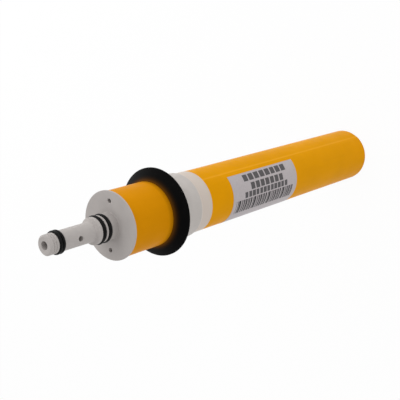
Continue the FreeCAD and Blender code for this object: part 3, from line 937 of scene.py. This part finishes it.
class MEMBRANE_OT_label(bpy.types.Operator):
    """Cut the label flat, print its plain bars and rows, and wrap it on the film"""

    bl_idname = "membrane.label"
    bl_label = "Label"

    # Size of one cell of the flat sheet, along the element and around it.
    cell_along = 0.5 * MM
    cell_around = 1.0 * MM

    # Rows of plain blocks: distance from the upper edge, height, first block, block, gap, count.
    rows = (
        (1.8, 6.0, 15.0, 6.4, 1.5, 8),
        (9.5, 6.0, 21.5, 5.6, 1.4, 7),
        (17.2, 4.5, 15.5, 4.2, 1.15, 12),
    )
    # Plain bars: distance from the upper edge, height, first bar, and end of the last one.
    bars = (23.2, 11.6, 6.5, 90.0)
    # Widths of a bar and of the gap after it, in cells, used in turn.
    bar_rhythm = ((3, 1), (2, 2), (4, 1), (1, 1), (3, 2), (2, 1), (1, 2), (5, 1), (2, 3), (4, 2))

    def execute(self, context):
        scene = context.scene
        sizes, tints = scene.membrane_label, scene.membrane_finishes
        piece = self.flat_sheet(sizes)
        piece.data.materials.append(label_stock("label_stock", tints.paper))
        piece.data.materials.append(print_ink("bar_print", tints.ink, tints.paper))
        piece.data.materials.append(print_ink("row_print", tints.tone, tints.paper))
        self.print_on(piece, sizes)
        self.wrap(piece, sizes, reach_of("far_wrap"))
        finish_piece(piece, "label_paper", [], "label")
        return {"FINISHED"}

    def flat_sheet(self, sizes):
        """A divided sheet standing in the XZ plane, its upper edge towards +X."""
        clear_selection()
        columns = round(sizes.label_length / self.cell_along)
        rows = round(sizes.label_width / self.cell_around)
        bpy.ops.mesh.primitive_grid_add(
            x_subdivisions=rows, y_subdivisions=columns, size=1, rotation=(math.pi / 2, 0, 0))
        piece = bpy.context.object
        piece.name = "label_sheet"
        bpy.ops.object.transform_apply(location=True, rotation=True, scale=True)
        bpy.ops.object.mode_set(mode="EDIT")
        bpy.ops.mesh.select_all(action="SELECT")
        bpy.ops.transform.resize(
            value=(sizes.label_width, 1, sizes.label_length), center_override=(0, 0, 0))
        bpy.ops.object.mode_set(mode="OBJECT")
        return piece

    def print_on(self, piece, sizes):
        """Give each cell the print that lies on it."""
        dark = set()
        position = self.bars[2] * MM
        turn = 0
        while position < self.bars[3] * MM:
            bar, gap = self.bar_rhythm[turn % len(self.bar_rhythm)]
            first = round(position / self.cell_along)
            dark.update(range(first, first + bar))
            position += (bar + gap) * self.cell_along
            turn += 1
        for face in piece.data.polygons:
            down = (sizes.label_width / 2 - face.center.x) / MM
            along = (face.center.z + sizes.label_length / 2) / MM
            if self.bars[0] < down < self.bars[0] + self.bars[1]:
                if int(along * MM / self.cell_along) in dark and along < self.bars[3]:
                    face.material_index = 1
            for start, height, first, block, gap, count in self.rows:
                run = along - first
                if start < down < start + height and 0 < run < count * (block + gap):
                    if run % (block + gap) < block:
                        face.material_index = 2

    def wrap(self, piece, sizes, radius):
        """Bend the sheet round the film, set it in its place and thicken it."""
        apply_modifier(piece, "SIMPLE_DEFORM", deform_method="BEND", deform_axis="Z",
                       angle=sizes.label_width / radius)
        piece.data.transform(
            Matrix.Rotation(sizes.label_bearing - math.radians(270), 4, "Z")
            @ Matrix.Translation((0, -radius, 0)))
        piece.data.transform(Matrix.Translation((0, 0, sizes.height)))
        bpy.ops.object.mode_set(mode="EDIT")
        bpy.ops.mesh.select_all(action="SELECT")
        bpy.ops.mesh.normals_make_consistent(inside=False)
        bpy.ops.object.mode_set(mode="OBJECT")
        outwards = sum(face.normal.xy.dot(face.center.xy) for face in piece.data.polygons)
        if outwards < 0:
            piece.data.flip_normals()
        apply_modifier(piece, "SOLIDIFY", thickness=sizes.thickness, offset=1.0)


class MEMBRANE_OT_inner_parts(bpy.types.Operator):
    """Give the roll, the product tube and its plug their finishes"""

    bl_idname = "membrane.inner_parts"
    bl_label = "Inner Parts"

    def execute(self, context):
        tints = context.scene.membrane_finishes
        nodes = frame["nodes"]
        finishes = {
            "membrane_roll": leaf_edges("leaf_edges", tints.leaf),
            "permeate_tube": drawn_tube("drawn_tube", tints.tube),
            "tube_plug": moulded_plastic("plug_moulding", tints.tube),
        }
        for name, material in finishes.items():
            for slot in nodes[name].material_slots:
                slot.material = material
        return {"FINISHED"}


class MEMBRANE_OT_stage(bpy.types.Operator):
    """Set the pale floor, the soft light and the camera"""

    bl_idname = "membrane.stage"
    bl_label = "Stage"

    # Strength of the even sky, and the share of plain white in the floor that the camera sees.
    sky = 0.687
    floor_glow = 0.95
    # Each soft lamp: name, place, width and power. All are turned to one point.
    lamp_target = (0, 0, 0.22)
    lamps = (
        ("low_left_lamp", (0.6, -0.5, 0.10), 0.4, 0.95),
        ("back_lamp", (-0.8, -0.3, 0.15), 0.5, 0.77),
        ("side_lamp", (0.2, 0.9, 0.5), 0.6, 2.28),
        ("high_lamp", (0.9, 0.2, 1.2), 0.8, 3.61),
        ("feed_end_lamp", (0.45, 0.35, 0.06), 0.25, 0.47),
    )

    def execute(self, context):
        self.add_floor()
        self.light_world(context.scene)
        self.add_lamps()
        self.add_camera(context.scene)
        context.scene.view_settings.view_transform = "Standard"
        return {"FINISHED"}

    def backdrop_rays(self, tree):
        """1 for the rays that show the backdrop: from the camera, in gloss, or through glass."""
        path = tree.nodes.new("ShaderNodeLightPath")
        total = path.outputs["Is Camera Ray"]
        for kind in ("Is Glossy Ray", "Is Transmission Ray"):
            either = tree.nodes.new("ShaderNodeMath")
            either.operation = "MAXIMUM"
            tree.links.new(total, either.inputs[0])
            tree.links.new(path.outputs[kind], either.inputs[1])
            total = either.outputs[0]
        return total

    def split_rays(self, tree, lit, shown, output, share):
        """Show one shader to the rays that see the backdrop, and light the object by the other."""
        factor = tree.nodes.new("ShaderNodeMath")
        factor.operation = "MULTIPLY"
        factor.inputs[1].default_value = share
        mix = tree.nodes.new("ShaderNodeMixShader")
        tree.links.new(self.backdrop_rays(tree), factor.inputs[0])
        for index, source in enumerate((factor, lit, shown)):
            tree.links.new(source.outputs[0], mix.inputs[index])
        tree.links.new(mix.outputs[0], tree.nodes.new(output).inputs["Surface"])

    def add_floor(self):
        """A white floor that keeps a little of the object's shadow."""
        clear_selection()
        bpy.ops.mesh.primitive_plane_add(size=14, location=(0, 0, -0.1 * MM))
        floor = bpy.context.object
        floor.name = "floor"
        material = bpy.data.materials.new("floor_paper")
        material.use_nodes = True
        tree = material.node_tree
        tree.nodes.clear()
        paper = tree.nodes.new("ShaderNodeBsdfDiffuse")
        paper.inputs["Color"].default_value = (0.88, 0.88, 0.88, 1)
        glow = tree.nodes.new("ShaderNodeEmission")
        glow.inputs["Strength"].default_value = 1.0
        self.split_rays(tree, paper, glow, "ShaderNodeOutputMaterial", self.floor_glow)
        floor.data.materials.append(material)

    def light_world(self, scene):
        """An even sky for the object, and plain white where the backdrop shows."""
        world = bpy.data.worlds.new("studio")
        world.use_nodes = True
        tree = world.node_tree
        tree.nodes.clear()
        backgrounds = []
        for strength in (self.sky, 1.0):
            background = tree.nodes.new("ShaderNodeBackground")
            background.inputs["Color"].default_value = (1, 1, 1, 1)
            background.inputs["Strength"].default_value = strength
            backgrounds.append(background)
        self.split_rays(tree, *backgrounds, "ShaderNodeOutputWorld", 1.0)
        scene.world = world

    def add_lamps(self):
        """Soft lamps round the object, which the camera doesn't see."""
        target = Vector(self.lamp_target)
        for name, place, size, energy in self.lamps:
            clear_selection()
            place = Vector(place)
            bpy.ops.object.light_add(type="AREA", location=place)
            lamp = bpy.context.object
            lamp.name = name
            lamp.data.shape = "SQUARE"
            lamp.data.size = size
            lamp.data.energy = energy
            lamp.visible_camera = False
            lamp.rotation_euler = (place - target).to_track_quat("Z", "Y").to_euler()

    def add_camera(self, scene):
        clear_selection()
        bpy.ops.object.camera_add(location=(0.1786734, -0.4268794, 0.7486725))
        camera = bpy.context.object
        camera.name = "camera"
        camera.rotation_euler = [math.radians(turn) for turn in (-14.9602, 39.9595, -89.6994)]
        camera.data.lens = 73.71
        camera.data.sensor_width = 36
        camera.data.clip_start = 0.01
        camera.data.clip_end = 50
        scene.camera = camera


# The operators, in the order in which they run.
PIECES = (
    MEMBRANE_OT_head_cap,
    MEMBRANE_OT_o_rings,
    MEMBRANE_OT_near_wrap,
    MEMBRANE_OT_brine_seal,
    MEMBRANE_OT_seal_carrier,
    MEMBRANE_OT_far_wrap,
    MEMBRANE_OT_label,
    MEMBRANE_OT_inner_parts,
    MEMBRANE_OT_stage,
)

GROUPS = (
    ("membrane_cap", CapSizes),
    ("membrane_stem", StemSizes),
    ("membrane_rings", RingSizes),
    ("membrane_seal", SealSizes),
    ("membrane_carrier", CarrierSizes),
    ("membrane_film", FilmSizes),
    ("membrane_label", LabelSizes),
    ("membrane_finishes", Finishes),
)


class MEMBRANE_PT_panel(bpy.types.Panel):
    """Lists the pieces, and the sizes and colours that they are made from"""

    bl_label = "Membrane Element"
    bl_idname = "MEMBRANE_PT_panel"
    bl_space_type = "VIEW_3D"
    bl_region_type = "UI"
    bl_category = "Membrane"

    def draw(self, context):
        column = self.layout.column(align=True)
        for piece in PIECES:
            column.operator(piece.bl_idname)
        for name, group in GROUPS:
            box = self.layout.box()
            box.label(text=group.__name__)
            for size in group.__annotations__:
                box.prop(getattr(context.scene, name), size)


def register():
    for name, group in GROUPS:
        bpy.utils.register_class(group)
        setattr(bpy.types.Scene, name, bpy.props.PointerProperty(type=group))
    for operator in PIECES:
        bpy.utils.register_class(operator)
    bpy.utils.register_class(MEMBRANE_PT_panel)


def unregister():
    bpy.utils.unregister_class(MEMBRANE_PT_panel)
    for operator in reversed(PIECES):
        bpy.utils.unregister_class(operator)
    for name, group in reversed(GROUPS):
        delattr(bpy.types.Scene, name)
        bpy.utils.unregister_class(group)


def main():
    register()
    for piece in PIECES:
        getattr(bpy.ops.membrane, piece.bl_idname.split(".")[1])()


if __name__ == "__main__":
    main()
